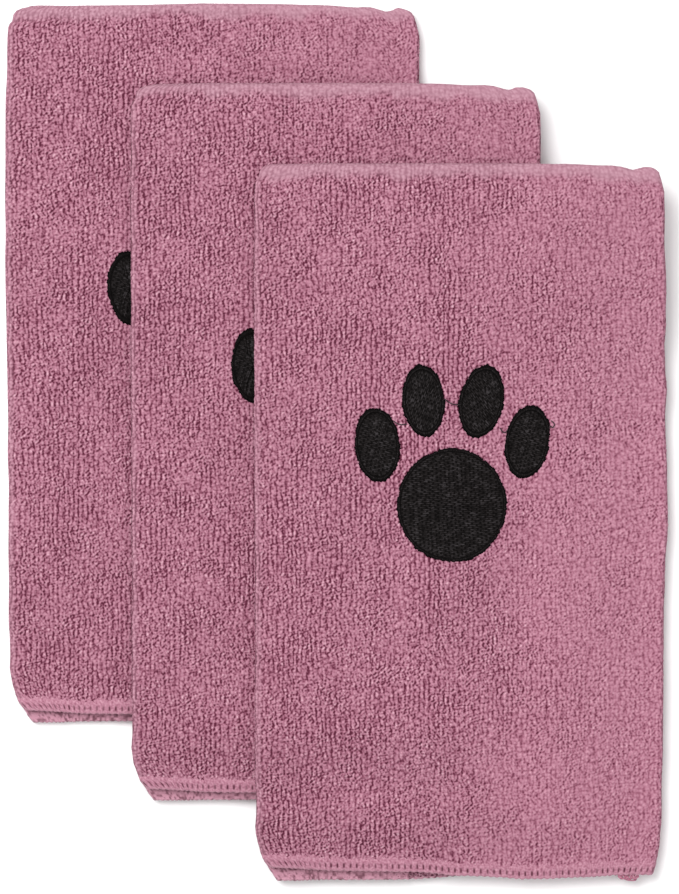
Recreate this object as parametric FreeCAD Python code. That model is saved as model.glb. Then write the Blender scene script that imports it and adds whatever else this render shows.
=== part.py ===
# A set of three folded terry towels, fanned out on a flat surface.
# Each towel is one cloth with its long sides turned to the back and then folded in half across.
# Row frame: +X across the towels, +Y towards the top fold, +Z up, origin under the middle of the set.
import FreeCAD, Part
import os

os.makedirs("parts", exist_ok=True)
V = FreeCAD.Vector

# ---- driving dimensions, mm -------------------------------------------------
CUT_WIDTH = 381.0          # the cloth before folding
CUT_LENGTH = 762.0
FACE_WIDTH = 217.0         # after both long sides are turned to the back
FACE_LENGTH = CUT_LENGTH / 2
FLAP_WIDTH = (CUT_WIDTH - FACE_WIDTH) / 2
LAYER = 2.3                # one thickness of terry
LEAF = 2 * LAYER           # panel and flap
LEAF_GAP = 0.3             # air between the two leaves
TOWEL = 2 * LEAF + LEAF_GAP
TOWEL_GAP = 0.5            # air between two towels
STEP_UP = TOWEL + TOWEL_GAP
STEP_X = 65.6              # each towel lies this much to the right of the one under it
STEP_Y = 41.7              # and this much lower down
HEM = 5.0                  # height of the overlocked edge
HINGE_CLEAR = 0.2          # the leaves end this far short of the fold's hinge line
PAD_SINK = 1.0             # the embroidery presses the loops down this far
PAD_PROUD = 0.15           # and stands this far above them
THREAD = 0.5               # jump thread and tail diameter

DROP_X = 62.0              # the overhanging side comes down over this width
DROP_Y = 41.0              # the overhanging end comes down over this length
DROP_X_SHARE = 0.90        # how much of a step the side comes down
DROP_Y_SHARE = 0.80        # how much of a step the end comes down
FOLD_STIFF_FROM = 8.0      # the thick fold bridges the step up to here
FOLD_STIFF_TO = 150.0      # and lets it come down fully from here

NAMES = ["back", "middle", "front"]
LEFT = [-(FACE_WIDTH + 2 * STEP_X) / 2 + i * STEP_X for i in range(3)]
TOP = [(FACE_LENGTH + 2 * STEP_Y) / 2 - i * STEP_Y for i in range(3)]
FOLD_R = TOWEL / 2

# embroidery, from the face's left edge and from the top fold: centre, half width, half height, lean to the right
PAD = (104.5, 181.7, 29.5, 30.6, 0.0)
TOES = {
    "toe_outer_left": (64.8, 149.6, 12.3, 20.2, -4.3),
    "toe_inner_left": (89.4, 126.3, 11.5, 19.5, -4.3),
    "toe_inner_right": (120.2, 126.6, 12.0, 19.9, 11.5),
    "toe_outer_right": (144.7, 148.1, 12.1, 19.9, 9.9),
}
# jump threads, as runs from the face's left edge and the top fold
JUMPS = [
    [(74.9, 137.6), (77.6, 138.6), (80.2, 138.7)],
    [(101.1, 125.7), (104.4, 127.9), (108.4, 128.3)],
    [(130.8, 141.2), (132.6, 143.0), (134.0, 141.9)],
    [(156.3, 140.6), (158.4, 139.0), (159.6, 137.2)],
]


def smooth(t):
    t = min(max(t, 0.0), 1.0)
    return t * t * (3 - 2 * t)


def drop(k, i, x, y):
    """How far towel i has come down over the edges of the towel under towel k, as a share of one step.
    The thick fold of towel i bridges the step in a straight line."""
    over_x = smooth((x - (LEFT[k - 1] + FACE_WIDTH) - 1.0) / DROP_X) * DROP_X_SHARE
    over_x *= smooth((TOP[i] - y - FOLD_STIFF_FROM) / (FOLD_STIFF_TO - FOLD_STIFF_FROM))
    over_y = smooth(((TOP[k - 1] - FACE_LENGTH) - y - 0.5) / DROP_Y) * DROP_Y_SHARE
    return 1 - (1 - over_x) * (1 - over_y)


def under(i, x, y):
    """Height of towel i's underside."""
    return sum(STEP_UP * (1 - drop(k, i, x, y)) for k in range(1, i + 1))


def base_face(i):
    """The underside of towel i as one smooth face, a little larger than the towel."""
    x0, x1 = LEFT[i] - 3, LEFT[i] + FACE_WIDTH + 3
    y0, y1 = TOP[i] - FACE_LENGTH - 3, TOP[i] + 3
    if i == 0:
        return Part.makePlane(x1 - x0, y1 - y0, V(x0, y0, 0))
    nx, ny = 27, 41
    grid = [
        [
            V(x, y, under(i, x, y))
            for y in [y0 + (y1 - y0) * b / (ny - 1) for b in range(ny)]
        ]
        for x in [x0 + (x1 - x0) * a / (nx - 1) for a in range(nx)]
    ]
    s = Part.BSplineSurface()
    s.interpolate(grid)
    return s.toShape()


def layer(i, low, high):
    """The space between two heights above towel i's underside."""
    f = FACES[i].copy()
    f.translate(V(0, 0, low))
    return f.extrude(V(0, 0, high - low))


def prism(i, points):
    """A tall upright prism over an outline given from the face's left edge and top fold."""
    p = [V(LEFT[i] + a, TOP[i] - b, -20) for a, b in points]
    return Part.Face(Part.makePolygon(p + [p[0]])).extrude(V(0, 0, 100))


def block(i, a0, a1, b0, b1):
    return prism(i, [(a0, b0), (a1, b0), (a1, b1), (a0, b1)])


def oval(i, a, b, half_w, half_h, lean):
    """An upright prism with an oval section; lean turns its top to the right."""
    e = Part.Ellipse(V(0, 0, 0), half_h, half_w)
    w = Part.Wire([e.toShape()])
    w.rotate(V(0, 0, 0), V(0, 0, 1), 90 - lean)
    w.translate(V(LEFT[i] + a, TOP[i] - b, -20))
    return Part.Face(w).extrude(V(0, 0, 100))


def one(shape):
    """The solid of a result that should be a single one."""
    shape = shape.removeSplitter()
    return shape.Solids[0] if len(shape.Solids) == 1 else Part.makeCompound(shape.Solids)


# outlines of a leaf, from the face's left edge and the top fold; the lower leaf shows a little below the upper one
HINGE = FOLD_R + HINGE_CLEAR
SIDE_IN = [(0.0, HINGE), (0.0, 355.8), (3.4, 363.7), (7.6, 373.3)]
LOWER_END = [(11.5, 379.9), (60.0, 380.8), (160.0, 381.0), (209.5, 379.6)]
UPPER_END = [(11.0, 376.4), (60.0, 377.3), (114.0, 379.0), (152.0, 380.3), (209.5, 378.4)]
SIDE_OUT = [(212.3, 371.2), (215.2, 359.5), (217.0, 342.0), (217.0, HINGE)]


def outline(end, up=0.0):
    pts = SIDE_IN + end + SIDE_OUT
    return [(a, b if b <= HINGE else b - up) for a, b in pts]


def save(name, shape):
    if isinstance(shape, list):
        shape = Part.makeCompound(shape)
    assert shape.Solids and shape.isValid(), name
    shape.exportStep("parts/" + name + ".step")
    bb = shape.BoundBox
    print("%-28s solids %d vol %.1f z %.2f..%.2f" % (name, len(shape.Solids), shape.Volume, bb.ZMin, bb.ZMax))


FACES = [base_face(i) for i in range(3)]

for i, towel in enumerate(NAMES):
    inner_l, inner_r = FLAP_WIDTH, FACE_WIDTH - FLAP_WIDTH
    # the lower leaf: back panel below, flaps on top of it. The upper leaf: flaps below, face panel on top.
    for leaf, start, end in (("lower", 0.0, LOWER_END), ("upper", LEAF + LEAF_GAP, UPPER_END)):
        whole = prism(i, outline(end))
        body = whole.common(prism(i, outline(end, HEM)))
        if leaf == "lower":
            panel_z, flap_z = (start, start + LAYER), (start + LAYER, start + LEAF)
        else:
            panel_z, flap_z = (start + LAYER, start + LEAF), (start, start + LAYER)
        panel_slab, flap_slab = layer(i, *panel_z), layer(i, *flap_z)
        panel = panel_slab.common(body)
        flap_l = flap_slab.common(body.common(block(i, -5, inner_l - HEM, 0, 400)))
        flap_r = flap_slab.common(body.common(block(i, inner_r + HEM, 225, 0, 400)))
        side_l = flap_slab.common(body.common(block(i, inner_l - HEM, inner_l, 0, 400)))
        side_r = flap_slab.common(body.common(block(i, inner_r, inner_r + HEM, 0, 400)))
        rim = whole.cut(body)
        hem = layer(i, start, start + LEAF).common(rim)
        hem = hem.cut(flap_slab.common(block(i, inner_l, inner_r, 300, 400)))
        if leaf == "upper":
            top = start + LEAF
            sunk = layer(i, top - PAD_SINK, top + PAD_PROUD)
            for name, spec in [("paw_pad", PAD)] + sorted(TOES.items()):
                piece = one(sunk.common(oval(i, *spec)))
                panel = panel.cut(piece)
                save("%s_%s" % (towel, name), piece)
            threads = []
            for run in JUMPS:
                pts = [
                    V(LEFT[i] + a, TOP[i] - b, under(i, LEFT[i] + a, TOP[i] - b) + top - THREAD / 2 + 0.1)
                    for a, b in run
                ]
                for p, q in zip(pts, pts[1:]):
                    threads.append(Part.makeCylinder(THREAD / 2, (q - p).Length, p, q - p))
            solids = []
            for k in range(0, len(threads), 2):
                solids.append(one(threads[k].fuse(threads[k + 1])))
            for s in solids:
                panel = panel.cut(s)
            pads = [sunk.common(oval(i, *spec)) for spec in [PAD] + list(TOES.values())]
            trimmed = []
            for s in solids:
                for p in pads:
                    s = s.cut(p)
                trimmed += s.Solids
            save(towel + "_jump_threads", trimmed)
            save(towel + "_upper_face_panel", one(panel))
        else:
            save(towel + "_lower_back_panel", one(panel))
        save("%s_%s_left_flap" % (towel, leaf), one(flap_l))
        save("%s_%s_right_flap" % (towel, leaf), one(flap_r))
        save("%s_%s_side_hems" % (towel, leaf), [one(side_l), one(side_r)])
        save("%s_%s_end_hem" % (towel, leaf), one(hem))

    # the roll of cloth at the top fold: half a round bar, bridging from the lower leaf to the upper one
    sections = []
    count = 2
    for n in range(count):
        x = LEFT[i] + FACE_WIDTH * n / (count - 1)
        y = TOP[i] - FOLD_R
        z = under(i, x, y)
        a, b, c = V(x, y, z), V(x, y + FOLD_R, z + FOLD_R), V(x, y, z + TOWEL)
        sections.append(Part.Wire([Part.Arc(a, b, c).toShape(), Part.LineSegment(c, a).toShape()]))
    roll = Part.makeLoft(sections, True, False)
    save(towel + "_fold_roll", one(roll))

# the loose end of the hem thread of the front towel, lying on the surface in front of the hem
i = 2
pts = [(193.4, 379.6), (195.9, 380.6), (199.5, 381.2), (202.6, 380.6)]
z = under(i, LEFT[i] + 198, TOP[i] - 380.5) + LEAF + LEAF_GAP + 1.0
p = [V(LEFT[i] + a, TOP[i] - b, z) for a, b in pts]
tail = Part.makeCylinder(THREAD / 2, (p[1] - p[0]).Length, p[0], p[1] - p[0])
for u, w in zip(p[1:], p[2:]):
    tail = tail.fuse(Part.makeSphere(THREAD / 2, u)).fuse(Part.makeCylinder(THREAD / 2, (w - u).Length, u, w - u))
save("front_thread_tail", one(tail))
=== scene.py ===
# Three folded terry towels with an embroidered paw print, fanned out on a pale floor.
# Lengths are worked out in millimetres and written to the meshes in metres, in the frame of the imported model.
import bpy
import math
import numpy as np
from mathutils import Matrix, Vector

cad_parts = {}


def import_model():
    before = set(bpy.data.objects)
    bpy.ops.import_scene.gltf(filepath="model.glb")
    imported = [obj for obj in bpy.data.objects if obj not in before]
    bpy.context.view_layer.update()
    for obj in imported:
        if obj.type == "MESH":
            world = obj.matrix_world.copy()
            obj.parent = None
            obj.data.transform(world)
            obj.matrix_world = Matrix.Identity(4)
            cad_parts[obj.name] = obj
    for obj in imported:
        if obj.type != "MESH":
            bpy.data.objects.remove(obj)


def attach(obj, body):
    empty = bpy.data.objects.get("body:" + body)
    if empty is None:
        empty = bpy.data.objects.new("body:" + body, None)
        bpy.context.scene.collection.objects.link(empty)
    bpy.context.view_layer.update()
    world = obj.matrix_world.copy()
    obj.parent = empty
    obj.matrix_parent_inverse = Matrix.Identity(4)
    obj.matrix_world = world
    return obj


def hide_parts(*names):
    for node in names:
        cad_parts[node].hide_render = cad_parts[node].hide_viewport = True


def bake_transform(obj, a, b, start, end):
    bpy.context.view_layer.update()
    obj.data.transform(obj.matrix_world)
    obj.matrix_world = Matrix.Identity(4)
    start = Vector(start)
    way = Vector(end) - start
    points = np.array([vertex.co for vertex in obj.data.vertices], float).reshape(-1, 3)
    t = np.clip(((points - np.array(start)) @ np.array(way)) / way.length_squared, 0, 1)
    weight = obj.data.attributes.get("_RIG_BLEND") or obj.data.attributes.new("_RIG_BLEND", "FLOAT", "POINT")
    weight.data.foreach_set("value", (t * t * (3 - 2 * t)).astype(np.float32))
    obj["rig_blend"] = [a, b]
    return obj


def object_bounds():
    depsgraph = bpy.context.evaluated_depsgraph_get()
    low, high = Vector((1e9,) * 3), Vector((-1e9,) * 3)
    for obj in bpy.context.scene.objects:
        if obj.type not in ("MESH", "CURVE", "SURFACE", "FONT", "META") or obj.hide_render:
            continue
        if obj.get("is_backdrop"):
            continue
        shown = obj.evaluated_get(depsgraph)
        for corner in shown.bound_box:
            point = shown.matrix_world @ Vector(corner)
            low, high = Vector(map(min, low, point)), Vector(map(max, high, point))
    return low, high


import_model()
cad_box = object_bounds()

MM = 0.001
NAMES = ["back", "middle", "front"]

# ---- sizes of the towels, as in the frame ------------------------------------
FACE_W, FACE_L = 217.0, 381.0
FLAP = 82.0
LAYER, LEAF_GAP, TOWEL_GAP = 2.3, 0.3, 0.5
TOWEL = 4 * LAYER + LEAF_GAP
ZM = TOWEL / 2
STEP_UP = TOWEL + TOWEL_GAP
STEP_X, STEP_Y = 65.6, 41.7
DROP_X, DROP_Y, DROP_X_SHARE, DROP_Y_SHARE = 62.0, 41.0, 0.90, 0.80
STIFF_FROM, STIFF_TO = 8.0, 150.0
LEFT = [-(FACE_W + 2 * STEP_X) / 2 + i * STEP_X for i in range(3)]
TOP = [(FACE_L + 2 * STEP_Y) / 2 - i * STEP_Y for i in range(3)]
PITCH = 0.62            # spacing of the points on the faces that show


def smooth(t):
    t = np.clip(t, 0.0, 1.0)
    return t * t * (3 - 2 * t)


def under(i, x, y):
    """Height of towel i's underside: it comes down beside and below the towels under it."""
    z = np.zeros(np.broadcast(x, y).shape)
    for k in range(1, i + 1):
        ox = smooth((x - (LEFT[k - 1] + FACE_W) - 1.0) / DROP_X) * DROP_X_SHARE
        ox = ox * smooth((TOP[i] - y - STIFF_FROM) / (STIFF_TO - STIFF_FROM))
        oy = smooth(((TOP[k - 1] - FACE_L) - y - 0.5) / DROP_Y) * DROP_Y_SHARE
        z = z + STEP_UP * (1 - ox) * (1 - oy)
    return z


# ---- seeded noise ------------------------------------------------------------
def hashed(ix, iy, seed):
    """A number from 0 to 1 for each pair of whole numbers."""
    n = (ix.astype(np.int64) * 374761393 + iy.astype(np.int64) * 668265263 + seed * 2147483647) & 0xFFFFFFFF
    n = ((n ^ (n >> 13)) * 1274126177) & 0xFFFFFFFF
    n = ((n ^ (n >> 16)) * 2246822519) & 0xFFFFFFFF
    return ((n ^ (n >> 15)) & 0xFFFFFF) / float(0xFFFFFF)


def noise(x, y, seed):
    """Smooth value noise from -1 to 1, one cell per unit."""
    ix, iy = np.floor(x), np.floor(y)
    fx, fy = x - ix, y - iy
    fx, fy = fx * fx * fx * (fx * (6 * fx - 15) + 10), fy * fy * fy * (fy * (6 * fy - 15) + 10)
    a, b = hashed(ix, iy, seed), hashed(ix + 1, iy, seed)
    c, d = hashed(ix, iy + 1, seed), hashed(ix + 1, iy + 1, seed)
    return ((a * (1 - fx) + b * fx) * (1 - fy) + (c * (1 - fx) + d * fx) * fy) * 2 - 1


def lump(x, y):
    """Broad unevenness of the cloth, the same through the whole stack, never under 0."""
    v = 0.33 + 0.22 * noise(x / 55.0 + 3.1, y / 70.0, 11) + 0.13 * noise(x / 24.0, y / 31.0 + 7.7, 12)
    return np.clip(v, 0.18, 2.0) + 0.2 * smooth((-80.0 - y) / 60.0)


def terry(u, v, loose):
    """Loops of the pile at cloth points u across and v along, in mm. 0.5 is the middle height, 0 deep in the gaps, 0.8 a high loop.
    loose is 0 where the loops stand in columns and 1 where they lie in rows with no deep gaps."""
    px, py = 2.6, 1.95
    uu = u + 0.9 * noise(u / 8.0, v / 12.0, 21) + 0.42 * noise(u / 3.2, v / 4.6, 25) + 0.3 * noise(u / 3.0, v / 4.0, 22)
    vv = v + 0.6 * noise(u / 6.0 + 9.3, v / 6.0, 23) + 0.3 * noise(u / 3.0, v / 3.0, 24)
    cu, cv = np.floor(uu / px), np.floor(vv / py)
    s = np.zeros(u.shape)
    for di in (-1, 0, 1):
        for dj in (-2, -1, 0, 1, 2):
            gi, gj = cu + di, cv + dj
            shift = hashed(gi, gi * 0, 31)
            x = (gi + 0.5 + 0.26 * (2 * hashed(gi, gj, 32) - 1)) * px
            y = (gj + 0.5 + 0.33 * (2 * hashed(gi, gj, 33) - 1) + (shift - 0.5) * (1 - 0.8 * loose)) * py
            r2 = ((uu - x) / 0.72) ** 2 + ((vv - y) / 0.66) ** 2
            s = np.maximum(s, (0.7 + 0.6 * hashed(gi, gj, 34)) * np.exp(-r2 / 2))
    s = (s - 0.62) / 0.24
    # gaps between the columns, deeper in patches
    patch = np.clip(0.55 + 0.8 * noise(u / 13.0, v / 15.0, 37), 0, 1.2)
    fr = uu / px - np.floor(uu / px)
    gap = np.minimum(fr, 1 - fr) * px
    s = s - 1.5 * (1 - loose) * patch * np.exp(-((gap / 0.42) ** 2))
    f = (s + (0.45 + 0.25 * loose) * noise(u / 1.15, v / 1.05, 38) + 0.2 * noise(u / 0.7, v / 0.7, 39)) / 1.15
    f = np.where(f > 0.6, 0.6 + (f - 0.6) * 0.6, f)
    return 0.5 + 0.2 * np.clip(f, -3.0, 1.6)


# ---- outlines, from the face's left edge and from the top fold ---------------
def line(points, q):
    p = np.array(points, float)
    return np.interp(q, p[:, 0], p[:, 1])


# as (how far down, how far in from the left or along from the left)
UPPER_L = [(0, 9.0), (0.6, 6.0), (2.0, 3.4), (4.5, 2.2), (7.6, 1.9), (9.0, 0.6), (11, -0.1), (24, -0.5), (60, -0.6), (120, -0.5), (200, -0.1), (330, 0.3), (352, 0.9), (361, 2.6), (369.3, 5.2), (374.5, 9.7), (382, 14)]
LOWER_L = [(0, 9.0), (0.6, 7.0), (3.0, 5.4), (6.5, 3.2), (9.0, 0.6), (11, -0.2), (24, -0.1), (60, 0.1), (90, 0.2), (200, 0.4), (330, 0.7), (352, 1.1), (361, 2.4), (369.3, 4.6), (374.5, 8.9), (380.5, 12.9), (384, 14)]
RIGHT = [(0, 206.6), (1.0, 209.1), (2.4, 211.9), (5.0, 214.1), (6.6, 214.7), (9.0, 215.6), (15.4, 217.3), (19.3, 217.3), (30, 217.1), (32, 217.1), (44.8, 217.5), (57.5, 218.2), (60, 218.3), (70.3, 218.7), (83, 218.3), (95, 217.5), (95.8, 217.5), (108.5, 217.9), (118, 218.5), (121.3, 218.6), (134, 218.0), (140, 218.2), (146.8, 218.6), (159.5, 219.2), (172.2, 219.1), (185, 219.4), (190, 219.3), (197.7, 219.1), (210.5, 218.0), (223.2, 217.9), (236, 217.4), (240, 217.4), (248.7, 217.2), (261.4, 217.2), (287, 217.2), (299.7, 216.9), (300, 216.9), (312.4, 216.6), (325.2, 216.2), (335, 216.1), (338, 216.0), (350.7, 215.8), (352, 215.8), (361, 215.4), (363.4, 215.1), (371, 213.4), (372, 213.1), (378, 211.4), (384, 210.0)]
TOP_EDGE = [(-5, 0.6), (8, 0.4), (40, 0.2), (90, 0.3), (150, 0.2), (184, 1.1), (192, 1.2), (198, 1.9), (203.5, 3.6), (207, 3.0), (211, 2.2), (225, 2.2)]
UPPER_END = [(-5, 374.0), (9.7, 374.5), (23, 375.0), (38, 375.8), (69, 376.3), (87, 376.6), (105, 378.0), (123, 378.9), (140, 379.4), (158, 379.2), (175, 378.4), (193, 377.2), (225, 377.1)]
LOWER_END = [(-5, 380.3), (13, 380.4), (60, 380.5), (87, 380.1), (105, 378.3), (123, 378.4), (160, 378.6), (190, 377.3), (225, 376.8)]


# how each towel differs from those lines
LEFT_OWN = [[(0, 0), (20, -0.2), (48, -0.9), (100, -1.5), (150, -1.1), (207, -0.4), (313, 0), (384, -0.2)], [(0, 0), (325, 0), (343, -0.4), (350, -0.75), (355, -1.0), (361, -1.35), (366, -0.95), (372, -1.1), (384, -1.5)],
            [(0, 0), (340, 0), (350, -0.5), (356, -1.0), (366, -1.0), (370, -1.3), (377, -1.7), (384, -1.8)]]
LOWER_OWN = [[(20, 0.2), (26, -0.1), (37, -0.4), (58, -0.6), (225, -0.6)], [(16, 0), (35, -0.35), (58, -0.5), (225, -0.5)],
             [(15, 0.9), (25, 0.6), (36, 0.4), (89, 0.4), (100, 0.9), (110, 0.6), (121, 0.1), (132, 0.35), (142, 1.1), (163, 0.9), (185, 1.2), (225, 1.1)]]
UPPER_OWN = [[(20, 0.0), (225, 0.0)], [(20, 0.0), (225, 0.0)],
             [(95, 0), (105, 0.5), (115, 0.3), (121, 0.1), (132, 0.35), (142, 1.1), (163, 0.9), (185, 1.2), (225, 1.1)]]

TOP_OWN = [[(-5, -0.6), (6, -1.4), (17, -1.3), (38, -1.0), (60, -1.35), (81, -1.6), (103, -2.2), (124, -2.05), (146, -1.9), (167, -1.7), (188, -1.15), (199, -2.0), (204, -1.2), (210, -1.0), (215, -1.9), (225, -1.9)],
           [(-5, -0.6), (8, -1.1), (157, -1.3), (176, -0.9), (187, -1.2), (198, -1.45), (206, -0.9), (217, -1.0), (225, -1.0)], [(0, 0), (225, 0)]]
RIGHT_OWN = [[(0, 1.7), (8, 1.45), (21, 1.45), (25, 1.13), (120, 1.1), (200, 0), (384, 0)], [(0, 0), (384, 0)], [(0, 0), (384, 0)]]


def between_flaps(a):
    """1 along the middle of a face, where no turned-in side lies against it."""
    return smooth((a - FLAP - 1.5) / 5.0) * smooth((FACE_W - FLAP - 1.5 - a) / 5.0)


def fit(i, a, b, upper):
    """Moves face points from the plain rectangle to the towel's uneven outline. upper is 0 on the lower leaf, 1 on the upper one."""
    end = (line(LOWER_END, a) + line(LOWER_OWN[i], a)) * (1 - upper) + (line(UPPER_END, a) + line(UPPER_OWN[i], a)) * upper
    top = line(TOP_EDGE, a) + line(TOP_OWN[i], a)
    bb = top + (b / FACE_L) * (end - top)
    left = line(LOWER_L, bb) * (1 - upper) + line(UPPER_L, bb) * upper + line(LEFT_OWN[i], bb)
    right = line(RIGHT, bb) + line(RIGHT_OWN[i], bb)
    # the edges pull only the outer 45 mm with them
    wl = 1 - smooth(a / 45.0)
    wr = smooth((a - (FACE_W - 45.0)) / 45.0)
    aa = a + left * wl + (right - FACE_W) * wr
    aa = aa + 0.35 * (noise(bb / 17.0, a * 0 + 3.0 * upper + 9.1, 41) * wl ** 2 + noise(bb / 15.0, a * 0 + 7.0 * upper + 5.1, 42) * wr ** 2)
    bb = bb + 0.22 * noise(aa / 14.0, bb * 0 + 2.0 * upper, 43) * (1 - smooth(b / 40.0))
    return LEFT[i] + aa, TOP[i] - bb


# embroidery: centre, half width, half height, lean to the right, direction of the threads
PARTS = {
    "paw_pad": (104.5, 181.7, 29.3, 30.4, 0.0, 3.0),
    "toe_outer_left": (64.8, 149.6, 12.2, 20.1, -4.3, -14.0),
    "toe_inner_left": (89.4, 126.3, 11.4, 19.4, -4.3, 70.0),
    "toe_inner_right": (120.2, 126.6, 11.9, 19.8, 11.5, -52.0),
    "toe_outer_right": (144.7, 148.1, 12.0, 19.8, 9.9, -16.0),
}


def in_part(a, b, spec, grow=0.0):
    """How far face points lie inside a pad's outline, in mm; negative outside."""
    cx, cy, w, h, lean, _ = spec
    t = math.radians(lean)
    dx, dy = a - cx, -(b - cy)
    x = dx * math.cos(t) - dy * math.sin(t)
    y = dx * math.sin(t) + dy * math.cos(t)
    r = np.hypot(x / w, y / h)
    return (1 - r) * min(w, h) + grow


# ---- mesh helpers ------------------------------------------------------------
def mesh_object(name, verts, faces, smooth_shade=True, attributes=None, uv=None):
    me = bpy.data.meshes.new(name)
    me.from_pydata((np.asarray(verts) * MM).tolist() if not isinstance(verts, list) else verts, [], faces)
    me.update()
    for key, values in (attributes or {}).items():
        at = me.attributes.new(key, "FLOAT", "POINT")
        at.data.foreach_set("value", np.asarray(values, np.float32))
    if uv is not None:
        layer = me.uv_layers.new(name="cloth")
        index = np.empty(len(me.loops), np.int32)
        me.loops.foreach_get("vertex_index", index)
        layer.data.foreach_set("uv", np.asarray(uv, np.float32)[index].ravel())
    me.polygons.foreach_set("use_smooth", np.full(len(me.polygons), smooth_shade))
    ob = bpy.data.objects.new(name, me)
    bpy.context.scene.collection.objects.link(ob)
    return ob


def grid_mesh(name, P, closed_rows=False, closed_cols=False, attributes=None, uv=None):
    """A quad mesh over an array of points, rows x columns x 3."""
    R, C = P.shape[:2]
    idx = np.arange(R * C).reshape(R, C)
    a = idx if closed_rows else idx[:-1]
    b = np.roll(idx, -1, 0) if closed_rows else idx[1:]
    if closed_cols:
        q = np.stack([a, np.roll(a, -1, 1), np.roll(b, -1, 1), b], -1)
    else:
        q = np.stack([a[:, :-1], a[:, 1:], b[:, 1:], b[:, :-1]], -1)
    return q.reshape(-1, 4)


def spaced(points):
    """Positions from a list of (from, to, spacing), without repeats."""
    out = []
    for lo, hi, step in points:
        n = max(1, int(round(abs(hi - lo) / step)))
        out += list(lo + (hi - lo) * np.arange(n) / n)
    out.append(points[-1][1])
    return np.array(out)


# ---- the cloth ---------------------------------------------------------------
def across(visible_to):
    """The cloth's section across the towel: for each point, (s, a outer, n outer, a inner, n inner).
    n is the distance from the plane between the two leaves; outer is the side that shows when folded."""
    rows = []
    R = LAYER
    mid = 0.15 + LAYER

    def roll(sign, order):
        for th in order:
            t = math.radians(th)
            x = R - R * math.sin(t)
            n = mid + R * math.cos(t)
            xi = R - 0.25 * math.sin(t)
            ni = mid + 0.10 * math.cos(t)
            s = -(FACE_W / 2 - R) - math.pi * R * th / 180
            if sign > 0:
                rows.append((-s, FACE_W - x, n, FACE_W - xi, ni))
            else:
                rows.append((s, x, n, xi, ni))

    for a in spaced([(FLAP, 12.0, 3.5), (12.0, R, 1.6)])[:-1]:
        s = -(FACE_W / 2 - R) - math.pi * R - (a - R)
        rows.append((s, a, 0.15, a, mid - 0.10))
    roll(-1, [180, 158, 136, 114, 92, 76, 60, 46, 32, 18, 8])
    for a in spaced([(R, visible_to, PITCH), (visible_to, FACE_W - R, PITCH if visible_to > 200 else 1.05)] if visible_to < 200 else [(R, FACE_W - R, PITCH)]):
        rows.append((a - FACE_W / 2, a, mid + R, a, mid + 0.10))
    roll(1, [8, 18, 32, 46, 60, 76, 92, 114, 136, 158, 180])
    for a in spaced([(R, 12.0, 1.6), (12.0, FLAP, 3.5)])[1:]:
        s = (FACE_W / 2 - R) + math.pi * R + (a - R)
        rows.append((s, FACE_W - a, 0.15, FACE_W - a, mid - 0.10))
    return np.array(rows)


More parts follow.
